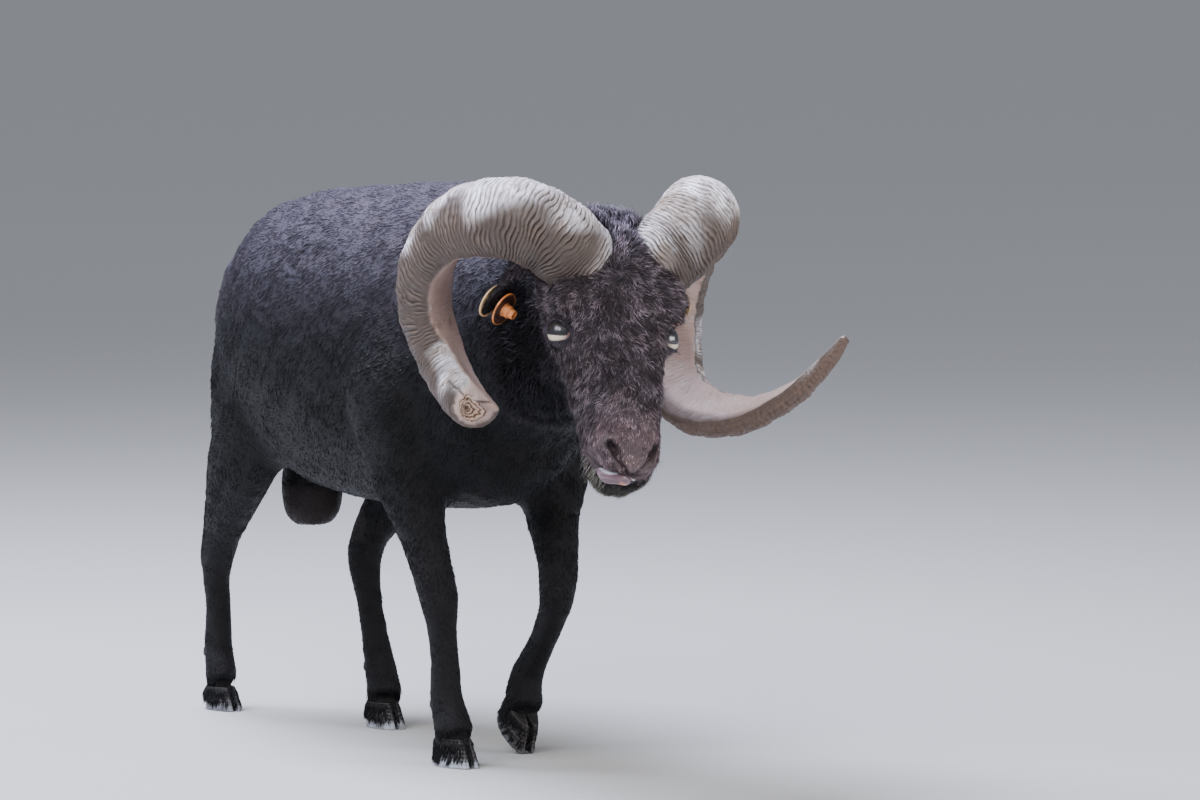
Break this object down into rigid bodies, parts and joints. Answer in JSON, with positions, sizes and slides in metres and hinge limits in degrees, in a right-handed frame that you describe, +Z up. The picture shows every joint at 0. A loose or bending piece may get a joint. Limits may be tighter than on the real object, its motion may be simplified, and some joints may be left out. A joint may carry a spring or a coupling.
{
  "type": "ouessant ram",
  "caption": "Still life-size dwarf black ram with curled horns and ear tags, caught walking, standing on its hooves.",
  "frame": {"origin": "middle of the box round the whole ram, on the floor under its hooves", "axes": "-Y is the way the ram faces, +X its left, +Z up"},
  "size_m": [0.3242, 0.7822, 0.488],
  "materials": {
    "black_fleece": "short dense velvety fleece",
    "horn_keratin": "ridged grey-tan horn",
    "hoof_keratin": "worn grey hoof horn",
    "eye_amber": "wet glossy eye",
    "tongue_flesh": "wet tongue",
    "tag_orange": "satin moulded plastic",
    "tag_cream": "satin moulded plastic"
  },
  "bodies": {
    "root": {"ear_left": "black_fleece", "ear_right": "black_fleece", "eye_left": "eye_amber", "eye_right": "eye_amber", "foreleg_left_claw_left": "hoof_keratin", "foreleg_left_claw_right": "hoof_keratin", "foreleg_left_dewclaw_left": "hoof_keratin", "foreleg_left_dewclaw_right": "hoof_keratin", "foreleg_left_lower": "black_fleece", "foreleg_left_upper": "black_fleece", "foreleg_right_claw_left": "hoof_keratin", "foreleg_right_claw_right": "hoof_keratin", "foreleg_right_dewclaw_left": "hoof_keratin", "foreleg_right_dewclaw_right": "hoof_keratin", "foreleg_right_lower": "black_fleece", "foreleg_right_upper": "black_fleece", "head": "black_fleece", "hindleg_left_claw_left": "hoof_keratin", "hindleg_left_claw_right": "hoof_keratin", "hindleg_left_dewclaw_left": "hoof_keratin", "hindleg_left_dewclaw_right": "hoof_keratin", "hindleg_left_lower": "black_fleece", "hindleg_left_upper": "black_fleece", "hindleg_right_claw_left": "hoof_keratin", "hindleg_right_claw_right": "hoof_keratin", "hindleg_right_dewclaw_left": "hoof_keratin", "hindleg_right_dewclaw_right": "hoof_keratin", "hindleg_right_lower": "black_fleece", "hindleg_right_upper": "black_fleece", "horn_left": "horn_keratin", "horn_right": "horn_keratin", "jaw": "black_fleece", "neck": "black_fleece", "scrotum": "black_fleece", "tag_left_back": "tag_cream", "tag_left_front": "tag_orange", "tag_right_back": "tag_cream", "tag_right_front": "tag_orange", "tail": "black_fleece", "tongue": "tongue_flesh", "trunk": "black_fleece"}
  },
  "joints": []
}
